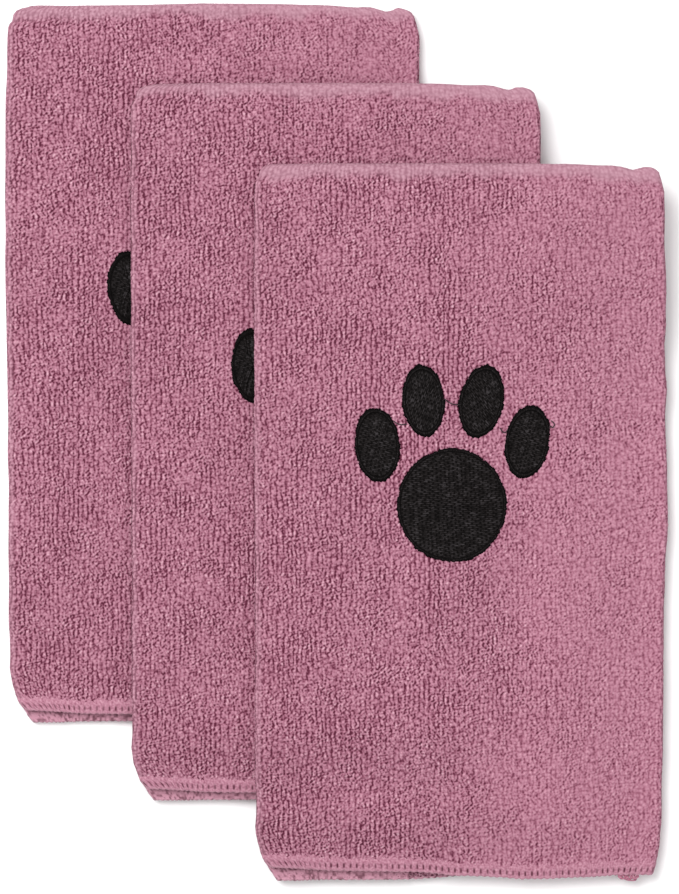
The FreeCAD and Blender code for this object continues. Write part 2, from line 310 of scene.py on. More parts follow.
def build_cloth(i):
    name = NAMES[i]
    A = across(250.0 if i == 2 else 72.0)
    C = len(A)
    fine_c = (A[:, 2] > 2.6)
    # rows down the lower leaf, round the fold and down the upper leaf: (v along the cloth, b, angle)
    rows = []
    r0 = ZM
    for b in spaced([(FACE_L - 0.9, 12.0, 4.5), (12.0, r0, 2.0)])[:-1]:
        rows.append((-(b - r0) - math.pi * r0 / 2, b, -90.0))
    for ang in list(np.linspace(-90, 0, 7)[:-1]) + list(np.linspace(0, 90, 12)):
        rows.append((math.radians(ang) * r0, r0, ang))
    for b in spaced([(r0, FACE_L - 0.9, PITCH)])[1:]:
        rows.append(((b - r0) + math.pi * r0 / 2, b, 90.0))
    Rw = np.array(rows)
    Rn = len(Rw)
    V = np.repeat(Rw[:, 0][:, None], C, 1)
    B0 = np.repeat(Rw[:, 1][:, None], C, 1)
    ANG = np.radians(np.repeat(Rw[:, 2][:, None], C, 1))
    S = np.repeat(A[:, 0][None], Rn, 0)
    up = (np.sin(ANG) + 1) / 2

    def place(acol, ncol):
        a = np.repeat(acol[None], Rn, 0)
        n = np.repeat(ncol[None], Rn, 0)
        b = B0 - n * np.cos(ANG)
        z = ZM + n * np.sin(ANG)
        return a, b, z

    ao, bo, zo = place(A[:, 1], A[:, 2])
    ai, bi, zi = place(A[:, 3], A[:, 4])

    def world(a, b, z):
        x, y = fit(i, a, b, up)
        return np.stack([x, y, z], -1)

    O, I = world(ao, bo, zo), world(ai, bi, zi)

    # the pile, on the outer side
    turned, across_it = 0.77 * ao + 0.64 * bo, 0.77 * bo - 0.64 * ao
    loose = smooth((ao - 88 + 30 * noise(turned / 33.0, across_it / 41.0, 51 + i)) / 110.0)
    loose = np.clip(loose + 0.35 * smooth((bo - 285) / 60.0) * smooth((ao - 60) / 80.0), 0, 1)
    if i < 2:
        loose = loose * 0.75
    h = terry(S + 300 * (i + 1), V + 700, loose)
    fine = np.repeat(fine_c[None], Rn, 0) & (ANG > -0.2)
    fine_f = fine.astype(float)

    # where the embroidery holds the pile down
    sink = np.zeros_like(h)
    af, bf = O[..., 0] - LEFT[i], TOP[i] - O[..., 1]
    for spec in PARTS.values():
        d = in_part(af, bf, spec)
        sink = np.maximum(sink, smooth((d + 0.2) / 1.0))
    sink = sink * (ANG > 1.5) * (A[:, 2][None] > 4.6)

    # surface normal of the outer side
    du = np.gradient(O, axis=1)
    dv = np.gradient(O, axis=0)
    N = np.cross(du, dv)
    N /= np.linalg.norm(N, axis=2)[..., None] + 1e-9
    # it must point away from the cloth
    away = O - I
    flip = np.sign((N * away).sum(2))
    N *= flip[..., None]
    # the pile is stretched smooth over the fold, in a band of uneven depth
    bo0 = bo
    wave = (3.1 if i == 2 else 2.2) + 2.0 * noise(ao / 11.0, bo * 0 + i, 61) + 1.2 * noise(ao / 3.7, bo * 0 + i, 64)
    near_end = smooth((bo - (FACE_L - 15.0)) / 8.0)
    flat = smooth((bo0 - 1.0 - wave) / 5.5) * (1 - 0.6 * near_end)
    side_flat = 1 - 0.55 * np.exp(-((np.maximum(ao - 0.3, 0) / 2.2) ** 2))
    rise = (h - 0.5) / 0.2 * (0.30 - 0.10 * loose) * np.where(ANG > 1.5, flat, 0.12) * side_flat * fine_f
    rise = np.maximum(rise, -0.95) * (1 - sink) - 1.05 * sink
    # the cloth dips a little where no flap lies under the face
    dip = 0.45 * np.exp(-(((ao - FACE_W / 2) / 21.0) ** 2)) * (A[:, 2][None] > 4.6) * (ANG > 1.5)
    O = O + N * (rise * 1.0 - dip)[..., None]
    # and its pile stands fuller there
    full = 1.8 * between_flaps(ao) * (A[:, 2][None] > 4.6) * (np.abs(ANG) > 1.5)
    I = I - N * (dip + full)[..., None]

    # the thin hemmed end
    thin = smooth((bo - (FACE_L - 9)) / 6.0)
    O = O - N * (0.25 * thin)[..., None]

    # inner side on fewer points
    keep_r = sorted(set(list(range(0, Rn, 6)) + [0, Rn - 1] + [k for k in range(Rn) if -89 < Rw[k, 2] < 89]))
    keep_c = sorted(set(list(range(0, C, 5)) + [0, C - 1] + [k for k in range(C) if not fine_c[k] or abs(A[k, 2] - (0.15 + 2 * LAYER)) > 0.01]))
    Ik = I[np.ix_(keep_r, keep_c)]
    nO = Rn * C
    quads = grid_mesh(name, O).tolist()
    RI, CI = len(keep_r), len(keep_c)
    qi = grid_mesh(name, Ik)[:, ::-1] + nO
    faces = quads + qi.tolist()
    io = np.arange(nO).reshape(Rn, C)
    ii = (np.arange(RI * CI) + nO).reshape(RI, CI)
    rim = []
    for k in range(CI - 1):   # both short edges
        c0, c1 = keep_c[k], keep_c[k + 1]
        rim.append([int(ii[0, k]), int(ii[0, k + 1])] + [int(q) for q in io[0, c0:c1 + 1][::-1]])
        rim.append([int(ii[-1, k + 1]), int(ii[-1, k])] + [int(q) for q in io[-1, c0:c1 + 1]])
    for k in range(RI - 1):   # both long edges
        r0_, r1_ = keep_r[k], keep_r[k + 1]
        rim.append([int(ii[k + 1, 0]), int(ii[k, 0])] + [int(q) for q in io[r0_:r1_ + 1, 0]])
        rim.append([int(ii[k, -1]), int(ii[k + 1, -1])] + [int(q) for q in io[r0_:r1_ + 1, -1][::-1]])
    faces += rim

    P = np.concatenate([O.reshape(-1, 3), Ik.reshape(-1, 3)])
    sel = np.ix_(keep_r, keep_c)
    both = lambda f, g=None: np.concatenate([f.reshape(-1), (f if g is None else g)[sel].reshape(-1)])
    zero = np.zeros_like(h)
    # painted sheen: this marks the fold band and the left edge, which the material gives a lighter, smoother colour
    side = np.exp(-(((A[:, 1] - 1.2) / 1.8) ** 2))[None] * np.ones_like(h)
    fold_sheen_band = (1 - smooth((bo - 1.0 - wave) / 6.0)) * (up > 0.25)
    fold_sheen_band = np.clip(fold_sheen_band + 0.55 * side * (up > 0.0), 0, 1)
    tone = 0.5 + 0.5 * loose + 0.16 * noise(turned / 42.0, across_it / 50.0, 62) + 0.10 * noise(across_it / 13.0, turned / 17.0, 63)
    if i < 2:
        tone = tone - 0.42 * smooth((ao - 100) / 60.0)
    if i == 2:   # patches made lighter or darker: across, down, spread, how much
        for pa, pb, spread, much in [(103, 85, 24, 0.45), (112, 285, 26, 0.35), (66, 348, 16, 0.55), (185, 18, 45, -0.50), (140, 190, 26, -0.22), (128, 335, 22, -0.25), (45, 300, 30, 0.15)]:
            tone = tone + much * np.exp(-((ao - pa) ** 2 + ((bo - pb) * 0.8) ** 2) / spread ** 2)
    attributes = {
        "pile": both(h, zero + 0.5),
        "detail": both(fine_f * (1 - 0.0 * h), zero),
        "fold_sheen_band": both(fold_sheen_band, zero),
        "tone": both(tone, zero + 0.6),
        "loose": both(loose, zero + 0.4),
    }
    uv = np.stack([both(S) / 1000, both(V) / 1000], -1)
    cloth = mesh_object(name + "_terry_cloth", P, faces, attributes=attributes, uv=uv)
    # the fold's two halves part at the plane between the leaves; the pile's height there is still in the flat
    hinge_y, hinge_z = (TOP[i] - ZM), ZM
    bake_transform(cloth, name + "_lower", name + "_upper", start=(0, hinge_y * MM, (hinge_z - 4.3) * MM), end=(0, hinge_y * MM, (hinge_z + 4.3) * MM))
    # only the fold's roll may turn part of the way; all else goes whole with its own leaf
    w = np.empty(len(P), np.float32)
    at = cloth.data.attributes["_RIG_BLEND"]
    at.data.foreach_get("value", w)
    part = both(np.clip((np.degrees(ANG) + 90) / 180, 0, 1))
    w = (part * part * (3 - 2 * part)).astype(np.float32)
    at.data.foreach_set("value", w)
    # now the cloth is laid over what is under it
    P2 = P.copy()
    P2[:, 2] += under(i, P[:, 0], P[:, 1]) + lump(P[:, 0], P[:, 1])
    cloth.data.vertices.foreach_set("co", (P2 * MM).astype(np.float32).ravel())
    cloth.data.update()
    return cloth




# ---- hems --------------------------------------------------------------------
def section_at(s):
    """The cloth's section at a distance s across from its middle: (a, n) of its mid surface and the outward direction."""
    A = across(250.0)
    f = lambda k: np.interp(s, A[:, 0], A[:, k])
    ao, no, ai, ni = f(1), f(2), f(3), f(4)
    d = np.hypot(ao - ai, no - ni)
    return (ao + ai) / 2, (no + ni) / 2, (ao - ai) / d, (no - ni) / d


# overlocked edge: (distance in from the end, height from the cloth's mid surface, how far the stitches cut in)
HEM_PROFILE = [
    (7.9, 0.70, 0.0), (7.2, 0.92, 0.0), (6.5, 1.10, 0.0), (5.6, 1.22, 0.0), (4.8, 1.26, 0.0), (4.2, 1.26, 0.25), (3.6, 1.24, 0.85), (3.0, 1.20, 1.0),
    (2.4, 1.18, 1.0), (1.9, 1.16, 0.95), (1.5, 1.14, 0.5), (1.1, 1.10, 0.1), (0.7, 0.98, 0.0), (0.35, 0.74, 0.0), (0.08, 0.38, 0.0),
    (0.0, 0.0, 0.0), (0.08, -0.36, 0.0), (0.4, -0.72, 0.0), (0.9, -0.95, 0.0), (1.5, -1.05, 0.0), (2.2, -1.1, 0.0), (3.0, -1.12, 0.0),
    (3.8, -1.12, 0.0), (4.6, -1.1, 0.0), (5.4, -1.0, 0.0), (5.7, -0.5, 0.0), (7.1, 0.2, 0.0),
]


def hem_points(along, point, seed, plain=False):
    """A hem swept along a cloth edge. point(along, inward, height) gives the place; the ends are closed.
    A plain hem shows the fluffy side of its stitches all round."""
    prof = np.array(HEM_PROFILE)
    E, Hh, G = [np.repeat(prof[:, k][:, None], len(along), 1) for k in range(3)]
    S = np.repeat(along[None], len(prof), 0)
    g = S / 3.32 + 0.30 * noise(S / 26.0, S * 0 + seed, 71) + 0.05 * noise(S / 3.0, S * 0 + seed, 72)
    frac = g - np.floor(g)
    cut = np.exp(-(((frac - 0.5) * 3.32 / 0.50) ** 2)) * G
    cut = cut * (0.75 + 0.35 * noise(np.floor(g) + 0.5, S * 0 + seed + 4.0, 73))
    lip = np.exp(-((E / 1.0) ** 2))
    E = E + 1.5 * smooth((E - 5.2) / 2.4) * (Hh > 0.6) * noise(S / 1.6, S * 0 + seed, 77)
    E2 = E - lip * (0.16 + 0.20 * np.cos(2 * np.pi * (frac - 0.0))) - 0.12 * lip * noise(S / 2.1, S * 0 + seed, 74)
    ribs = 0.06 * np.cos(2 * np.pi * S / 0.83) * (Hh > 0.6)
    back = (Hh < -0.3) | (plain & (Hh > 0.3))
    cut = cut * (0.1 if plain else 1.0)
    tuft = noise(S / 1.25, E / 1.2 + seed, 76)
    H2 = Hh - np.sign(Hh) * 0.10 * cut + np.sign(Hh) * ribs * (1 - cut) + 0.08 * noise(S / 5.0, E * 0.5, 75) * (np.abs(Hh) > 0.6)
    H2 = H2 - 0.26 * tuft * back
    P = point(S, E2, H2)
    R, C = S.shape
    idx = np.arange(R * C).reshape(R, C)
    nxt = np.roll(idx, -1, 0)
    q = np.stack([idx[:, :-1], idx[:, 1:], nxt[:, 1:], nxt[:, :-1]], -1).reshape(-1, 4).tolist()
    q.append(idx[:, 0].tolist())
    q.append(idx[:, -1][::-1].tolist())
    # lighter along the edge lip; on the back and plain sides this is painted light, which brightens the strip lying in
    # the upper leaf's shadow
    light = np.clip(lip * (Hh > -0.2), 0, 1) + 1.5 * back
    uv = np.stack([S.ravel() / 1000, E2.ravel() / 1000], -1)
    # painted shade: the stitch cuts get a dark colour; on the back it is a dark mottle
    dark = cut * (1 - back) + back * np.clip(0.1 - 0.7 * tuft, 0, 0.6)
    return P.reshape(-1, 3), q, {"stitch_shade_and_mottle": dark.ravel(), "lip": light.ravel()}, uv


def lay(i, a, b, z, upper):
    """Face points and heights above the towel's underside, laid in the stack, in mm."""
    x, y = fit(i, a, b, np.zeros(a.shape) + upper)
    return np.stack([x, y, z + under(i, x, y) + lump(x, y)], -1)


def lay_on_face(i, a, b, z):
    """The same for points given where they really are on the face."""
    x, y = LEFT[i] + a, TOP[i] - b
    return np.stack([x, y, z + under(i, x, y) + lump(x, y)], -1)


def end_hem(i, leaf):
    upper = 1.0 if leaf == "upper" else 0.0
    half = FACE_W / 2 - LAYER + math.pi * LAYER + (FLAP - LAYER)
    along = np.arange(-half + 0.3, half - 0.3, 0.32 if i == 2 else 0.45)

    def point(S, E, H):
        am, nm, da, dn = section_at(S)
        # the embroidered face dips a little between the flaps
        dip = 0.45 * np.exp(-(((am - FACE_W / 2) / 21.0) ** 2)) * (nm > 2.6) * upper
        H = np.where(H < 0, H * (1 + 1.3 * between_flaps(am) * (nm > 2.6)), H)
        a = am + da * H
        n = nm + dn * H - dip
        z = ZM + n * (1 if upper else -1)
        return lay(i, a, FACE_L - E, z, upper)

    P, q, at, uv = hem_points(along, point, 3.0 * i + upper, upper < 0.5)
    ob = mesh_object("%s_%s_end_overlock" % (NAMES[i], leaf), P, q, attributes=at, uv=uv)
    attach(ob, "%s_%s" % (NAMES[i], leaf))
    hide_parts("%s_%s_end_hem" % (NAMES[i], leaf))
    return ob


def side_hems(i, leaf):
    """The overlocked long edges, which are turned to the back with the flaps."""
    upper = 1.0 if leaf == "upper" else 0.0
    along = np.arange(5.4 + (2.0, 1.3, 0.0)[i], FACE_L - 7.2, 0.6)
    Ps, qs, ats, uvs, base = [], [], {"stitch_shade_and_mottle": [], "lip": []}, [], 0
    for side in (-1, 1):
        def point(S, E, H):
            a = FLAP + 0.35 - E
            if side > 0:
                a = FACE_W - a
            # the flaps' outer side is the one towards the other leaf
            n = 0.15 + LAYER / 2 - H * 0.94
            z = ZM + n * (1 if upper else -1)
            return lay(i, a, S, z, upper)

        P, q, at, uv = hem_points(along, point, 5.0 * i + upper + side)
        if (side > 0) == (upper > 0):
            q = [f[::-1] for f in q]
        Ps.append(P)
        qs += [[k + base for k in f] for f in q]
        base += len(P)
        uvs.append(uv)
        for key in ats:
            ats[key].append(at[key])
    ob = mesh_object("%s_%s_side_overlock" % (NAMES[i], leaf), np.concatenate(Ps), qs,
                     attributes={k: np.concatenate(v) for k, v in ats.items()}, uv=np.concatenate(uvs))
    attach(ob, "%s_%s" % (NAMES[i], leaf))
    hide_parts("%s_%s_side_hems" % (NAMES[i], leaf))
    return ob


# ---- embroidery --------------------------------------------------------------
def stitched(i, key):
    """One filled oval of the paw, with a satin border over the edge of its fill."""
    cx, cy, w, h, lean, way = PARTS[key]
    fine = 0.36 if i == 2 else 0.6
    seed = 10 * i + sorted(PARTS).index(key)
    around = int(round(2 * math.pi * math.sqrt((w * w + h * h) / 2) / fine))
    rings = int(round(min(w, h) / (fine * 1.15)))
    th = np.arange(around) * 2 * np.pi / around
    # rings closer together at the border
    r = 1 - (1 - np.arange(1, rings + 1) / rings) ** 1.12
    T, Rr = np.meshgrid(th, r)
    m = min(w, h)
    # stitches end unevenly at the outline
    stitch = th * math.sqrt((w * w + h * h) / 2) / 0.95
    tooth = hashed(np.floor(stitch), np.floor(stitch) * 0 + seed, 81) - 0.5
    jag = 0.85 * tooth + 0.55 * noise(th * m / 3.9, th * 0 + seed, 82) - 0.35 * np.abs(np.cos(np.pi * stitch)) ** 6
    grow = jag[None] * smooth((Rr - (1 - 1.6 / m)) / (1.6 / m))
    X = (w * Rr + grow) * np.cos(T)
    Y = (h * Rr + grow) * np.sin(T)
    depth = (1 - Rr) * m                      # mm in from the outline
    t = math.radians(lean)
    a = cx + X * math.cos(t) + Y * math.sin(t)
    b = cy - (-X * math.sin(t) + Y * math.cos(t))
    # fill: rows of thread along one direction, in staggered stitches
    d = math.radians(way)
    along = (a - cx) * math.cos(d) - (b - cy) * math.sin(d)
    crossw = (a - cx) * math.sin(d) + (b - cy) * math.cos(d)
    crossw = crossw + 0.32 * noise(along / 5.5, crossw / 6.0, 83 + seed) + 0.10 * noise(along / 1.5, crossw / 1.5, 84 + seed)
    row = crossw / 1.06
    fr = row - np.floor(row)
    thread = np.sqrt(np.clip(1 - (2 * fr - 1) ** 2, 0, 1))
    stag = (along / 4.4) + 0.5 * (np.floor(row) % 2) + 0.23 * hashed(np.floor(row), np.floor(row) * 0, 85)
    fs = stag - np.floor(stag)
    nick = np.exp(-((np.minimum(fs, 1 - fs) * 4.4 / 0.42) ** 2))
    fill = -0.30 + 0.30 * thread - 0.16 * nick + 0.08 * noise(along / 6.0, crossw / 6.0, 86 + seed)
    # border: satin stitches across a raised ring
    bs = T * math.sqrt((w * w + h * h) / 2) / 0.62
    fb = bs + 0.25 * noise(T * 9.0, Rr * 0 + seed, 87)
    satin = np.abs(np.sin(np.pi * fb))
    q = np.clip((depth + 0.5) / 2.5, 0, 1)
    ring = np.sqrt(np.clip(1 - ((q - 0.5) / 0.5) ** 2, 0, 1))
    border = -0.34 + 0.38 * ring + 0.14 * satin * ring
    inside = smooth((depth - 1.65) / 0.4)
    top = border * (1 - inside) + fill * inside
    top = top - 0.5 * smooth((0.5 - depth) / 0.5)
    z = LAYER * 4 + LEAF_GAP + top
    dip = 0.45 * np.exp(-(((a - FACE_W / 2) / 21.0) ** 2))
    z = z - dip
    P = lay_on_face(i, a, b, z)
    idx = np.arange(rings * around).reshape(rings, around)
    verts = P.reshape(-1, 3)
    faces = []
    inner, outer = idx[:-1], idx[1:]
    faces += np.stack([inner, outer, np.roll(outer, -1, 1), np.roll(inner, -1, 1)], -1).reshape(-1, 4).tolist()
    centre = len(verts)
    ca, cb = np.array([cx]), np.array([cy])
    pc = lay_on_face(i, ca, cb, np.array([LAYER * 4 + LEAF_GAP - 0.15]) - 0.45 * np.exp(-(((ca - FACE_W / 2) / 21.0) ** 2)))
    low = lay_on_face(i, a[-1] * 0.998 + cx * 0.002, b[-1] * 0.998 + cy * 0.002, np.full(around, LAYER * 4 + LEAF_GAP - 1.35) - dip[-1])
    lowc = lay_on_face(i, ca, cb, np.array([LAYER * 4 + LEAF_GAP - 1.35]) - 0.45 * np.exp(-(((ca - FACE_W / 2) / 21.0) ** 2)))
    verts = np.concatenate([verts, pc, low, lowc])
    L0 = centre + 1
    LC = L0 + around
    for k in range(around):
        kn = (k + 1) % around
        faces.append([centre, int(idx[0, k]), int(idx[0, kn])])
        faces.append([int(idx[-1, k]), L0 + k, L0 + kn, int(idx[-1, kn])])
        faces.append([LC, L0 + kn, L0 + k])
    pad = lambda f, v: np.concatenate([f.ravel(), [v], np.full(around, v), [v]])
    # painted highlight and shade: lighter on thread crests, satin and the ring's crest line, darker in the stitch
    # nicks, just inside the ring and towards the outline
    shade = inside * (0.45 + 0.4 * thread - 0.5 * nick) + (1 - inside) * (0.16 + 0.16 * satin + 0.55 * np.exp(-(((depth - 1.25) / 0.30) ** 2))) - 0.15 * np.exp(-(((depth - 1.9) / 0.30) ** 2))
    shade = shade - 0.9 * smooth((0.55 - depth) / 0.5)
    ob = mesh_object("%s_%s_stitching" % (NAMES[i], key), verts, faces,
                     attributes={"shade": pad(shade, 0.2), "along": pad(np.where(inside > 0.5, along, bs * 0.62) / 10, 0), "ringed": pad(1 - inside, 0)},
                     uv=np.stack([pad(np.where(inside > 0.5, crossw, bs * 0.62), 0) / 1000, pad(np.where(inside > 0.5, along, depth), 0) / 1000], -1))
    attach(ob, NAMES[i] + "_upper")
    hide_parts("%s_%s" % (NAMES[i], key))
    return ob


def tube(points, radius, sides=8, twist=0.0):
    """A round thread through points in mm, closed at both ends. Gives points and faces."""
    p = np.array(points, float)
    t = np.gradient(p, axis=0)
    t /= np.linalg.norm(t, axis=1)[:, None] + 1e-12
    upv = np.array([0, 0, 1.0])
    s = np.cross(t, upv)
    s /= np.linalg.norm(s, axis=1)[:, None] + 1e-9
    n = np.cross(s, t)
    an = np.arange(sides) * 2 * np.pi / sides
    rad = np.full(len(p), radius)
    rad[0] *= 0.6
    rad[-1] *= 0.6
    V3 = p[:, None] + rad[:, None, None] * (np.cos(an)[None, :, None] * s[:, None] + np.sin(an)[None, :, None] * n[:, None])
    idx = np.arange(len(p) * sides).reshape(len(p), sides)
    q = np.stack([idx[:-1], np.roll(idx, -1, 1)[:-1], np.roll(idx, -1, 1)[1:], idx[1:]], -1).reshape(-1, 4).tolist()
    q.append(idx[0][::-1].tolist())
    q.append(idx[-1].tolist())
    return V3.reshape(-1, 3), q


def eased(points, per=8):
    """A smooth line through a few points."""
    p = np.array(points, float)
    e = np.concatenate([[2 * p[0] - p[1]], p, [2 * p[-1] - p[-2]]])
    out = []
    for k in range(1, len(e) - 2):
        for u in np.arange(per) / per:
            a, b, c, d = e[k - 1], e[k], e[k + 1], e[k + 2]
            out.append(0.5 * ((2 * b) + (c - a) * u + (2 * a - 5 * b + 4 * c - d) * u * u + (3 * b - a - 3 * c + d) * u ** 3))
    out.append(p[-1])
    return np.array(out)


def threads(name, i, runs, radius, body, node):
    """Loose threads on the face. Each run is a list of (a, b, height over the loops)."""
    V3, F, base = [], [], 0
    for run in runs:
        p = eased(run)
        pts = lay_on_face(i, p[:, 0], p[:, 1], LAYER * 4 + LEAF_GAP + p[:, 2])
        v, f = tube(pts, radius)
        V3.append(v)
        F += [[k + base for k in q] for q in f]
        base += len(v)
    ob = mesh_object(name, np.concatenate(V3), F)
    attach(ob, body)
    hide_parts(node)
    return ob


JUMPS = [
    [(73.6, 137.0, -0.2), (75.6, 138.4, 0.55), (78.0, 138.9, 0.60), (80.6, 138.5, -0.1)],
    [(100.2, 125.0, -0.1), (102.6, 126.9, 0.55), (105.4, 128.1, 0.60), (109.2, 128.4, -0.1)],
    [(130.0, 140.6, -0.1), (131.3, 142.6, 0.55), (133.0, 142.9, 0.55), (134.3, 141.4, -0.1)],
    [(157.0, 136.6, -0.1), (158.9, 138.6, 0.55), (158.0, 140.4, 0.55), (156.6, 139.6, 0.25), (156.0, 141.0, -0.1)],
]
TAIL = [
    [(192.8, 377.9, -0.6), (194.6, 379.6, -1.3), (197.6, 381.0, -2.2), (200.8, 381.3, -2.7), (203.2, 379.9, -1.9), (204.0, 377.8, -0.7)],
    [(194.2, 377.6, -0.5), (196.4, 379.2, -1.0), (199.8, 380.1, -1.6), (202.6, 379.0, -1.2), (202.8, 377.4, -0.5)],
    [(195.4, 378.4, -1.2), (198.8, 380.9, -1.7), (201.6, 381.4, -3.1), (202.9, 380.9, -3.4)],
]
# the tail is wound into small loops
for k in range(9):
    ca, cb, r = 194.0 + 1.12 * k, 378.9 + 0.55 * math.sin(0.38 * k + 0.2) + 0.25 * (k % 2), 0.95 + 0.2 * ((k * 5) % 3)
    TAIL.append([(ca + r * math.cos(t), cb + 0.8 * r * math.sin(t), -1.5 - 0.25 * (k % 3) + 0.35 * math.sin(1.7 * t + k)) for t in np.arange(-1.6 + k, 4.4 + k, 0.75)])

# ---- materials ---------------------------------------------------------------
LIT = 1.285    # how bright a white surface comes out under these lights


def lin(r, g, b, k=1.0):
    f = lambda c: (c / 255 / 12.92) if c <= 10.31 else ((c / 255 + 0.055) / 1.055) ** 2.4
    return (f(r) * k / LIT, f(g) * k / LIT, f(b) * k / LIT, 1.0)


class Nodes:
    """A short way to write a material's nodes."""

    def __init__(self, name):
        self.mat = bpy.data.materials.new(name)
        self.mat.use_nodes = True
        self.t = self.mat.node_tree
        self.t.nodes.clear()
        self.out = self.t.nodes.new("ShaderNodeOutputMaterial")
        self.p = self.t.nodes.new("ShaderNodeBsdfPrincipled")
        self.t.links.new(self.p.outputs[0], self.out.inputs[0])

    def link(self, a, b):
        if isinstance(a, (int, float)):
            b.default_value = a
        elif isinstance(a, tuple):
            b.default_value = a
        else:
            self.t.links.new(a, b)

    def attr(self, name):
        n = self.t.nodes.new("ShaderNodeAttribute")
        n.attribute_name = name
        return n.outputs["Fac"]

    def cloth(self, sx=1.0, sy=1.0, dx=0.0, dy=0.0):
        """The cloth's own coordinates in mm, moved by dx and dy and divided by sx and sy."""
        u = self.t.nodes.new("ShaderNodeUVMap")
        u.uv_map = "cloth"
        m = self.t.nodes.new("ShaderNodeMapping")
        m.inputs["Scale"].default_value = (1000 / sx, 1000 / sy, 1)
        m.inputs["Location"].default_value = (dx / sx, dy / sy, 0)
        self.link(u.outputs[0], m.inputs["Vector"])
        return m.outputs[0]

    def noise(self, vec, scale=1.0, detail=2.0, rough=0.5):
        n = self.t.nodes.new("ShaderNodeTexNoise")
        n.noise_dimensions = "2D"
        n.inputs["Scale"].default_value = scale
        n.inputs["Detail"].default_value = detail
        n.inputs["Roughness"].default_value = rough
        self.link(vec, n.inputs["Vector"])
        return n.outputs["Fac"]

    def cells(self, vec, randomness):
        n = self.t.nodes.new("ShaderNodeTexVoronoi")
        n.voronoi_dimensions = "2D"
        n.inputs["Scale"].default_value = 1.0
        n.inputs["Randomness"].default_value = randomness
        self.link(vec, n.inputs["Vector"])
        return n.outputs["Distance"]

    def math(self, op, a, b=None, c=None, clamp=False):
        n = self.t.nodes.new("ShaderNodeMath")
        n.operation = op
        n.use_clamp = clamp
        for k, v in enumerate((a, b, c)):
            if v is not None:
                self.link(v, n.inputs[k])
        return n.outputs[0]

    def ramp(self, fac, stops, interpolation="LINEAR"):
        n = self.t.nodes.new("ShaderNodeValToRGB")
        n.color_ramp.interpolation = interpolation
        e = n.color_ramp.elements
        while len(e) > 1:
            e.remove(e[-1])
        e[0].position, e[0].color = stops[0]
        for pos, col in stops[1:]:
            x = e.new(pos)
            x.color = col
        self.link(fac, n.inputs[0])
        return n.outputs[0]

    def mix(self, fac, a, b, mode="MIX"):
        n = self.t.nodes.new("ShaderNodeMix")
        n.data_type = "RGBA"
        n.blend_type = mode
        self.link(fac, n.inputs[0])
        self.link(a, n.inputs[6])
        self.link(b, n.inputs[7])
        return n.outputs[2]

    def bump(self, height, strength, distance, normal=None):
        n = self.t.nodes.new("ShaderNodeBump")
        n.inputs["Strength"].default_value = strength
        n.inputs["Distance"].default_value = distance
        self.link(height, n.inputs["Height"])
        if normal is not None:
            self.link(normal, n.inputs["Normal"])
        return n.outputs[0]


def terry_material():
    m = Nodes("terry")
    pile, fold_sheen_band, tone, loose, detail = m.attr("pile"), m.attr("fold_sheen_band"), m.attr("tone"), m.attr("loose"), m.attr("detail")
    # where the mesh has no loops of its own, they are drawn here
    loops = m.math("MULTIPLY_ADD", m.math("SUBTRACT", 0.42, m.cells(m.cloth(2.6, 1.95), 0.75)), 1.0, 0.5)
    pile = m.math("MULTIPLY_ADD", m.math("SUBTRACT", pile, loops), detail, loops)
    fibre = m.noise(m.cloth(0.5, 0.7), 1.0, 1.0, 0.6)
    curl = m.noise(m.cloth(1.1, 1.2), 1.0, 0.0, 0.5)
    # each loop is painted lighter on one side and darker on the other: a painted highlight and painted shade, as from
    # light falling from one side
    lean = m.math("SUBTRACT", m.noise(m.cloth(1.25, 1.2, 0.43, 0.15), 1.0, 0.0, 0.5), m.noise(m.cloth(1.25, 1.2, -0.43, -0.15), 1.0, 0.0, 0.5))
    own = m.math("MULTIPLY", m.math("SUBTRACT", curl, 0.5), 0.20)
    own = m.math("MULTIPLY_ADD", m.math("SUBTRACT", fibre, 0.5), 0.20, own)
    own = m.math("MULTIPLY_ADD", lean, 0.60, own)
    patch = m.math("MULTIPLY_ADD", m.math("SUBTRACT", m.noise(m.cloth(13, 15), 1.0, 0.0, 0.5), 0.5), 1.2, 1.0)
    own = m.math("MULTIPLY", own, m.math("MAXIMUM", patch, 0.3))
    own = m.math("MULTIPLY", own, m.math("MULTIPLY_ADD", loose, -0.38, 1.0))
    own = m.math("MULTIPLY", own, m.math("MULTIPLY_ADD", fold_sheen_band, -0.55, 1.0))
    base = m.math("MULTIPLY_ADD", m.math("SUBTRACT", pile, 0.5), m.math("MULTIPLY_ADD", loose, -0.20, 0.84), 0.52)
    h = m.math("ADD", own, base)
    # painted shade and highlight: low places between the loops get dark colour and the loop tops light colour
    col = m.ramp(h, [
        (0.00, lin(96, 37, 58)), (0.16, lin(127, 68, 89)), (0.32, lin(162, 102, 122)), (0.48, lin(184, 125, 145)),
        (0.62, lin(195, 137, 156)), (0.80, lin(208, 152, 169)), (1.0, lin(230, 182, 196)),
    ])
    # tone: 0.5 plain, 1 the lighter side
    light = m.ramp(tone, [(0.2, (0.86, 0.84, 0.85, 1)), (0.5, (0.93, 0.925, 0.93, 1)), (1.0, (0.982, 0.982, 0.985, 1))])
    col = m.mix(1.0, col, light, "MULTIPLY")
    # painted sheen: along the fold band and the left edge the colour is mixed towards a lighter one with less contrast
    flat = m.ramp(h, [(0.1, lin(160, 112, 128)), (0.55, lin(184, 138, 153)), (1.0, lin(200, 158, 171))])
    col = m.mix(m.math("MULTIPLY", fold_sheen_band, 0.92), col, flat)
    raised = m.math("MULTIPLY", h, m.math("MULTIPLY_ADD", fold_sheen_band, -0.6, 1.0))
    raised = m.math("MULTIPLY", raised, m.math("MULTIPLY_ADD", detail, -1.2, 2.2))
    m.link(col, m.p.inputs["Base Color"])
    m.p.inputs["Roughness"].default_value = 0.95
    m.p.inputs["Specular IOR Level"].default_value = 0.15
    m.link(m.bump(raised, 1.0, 0.0006), m.p.inputs["Normal"])
    return m.mat


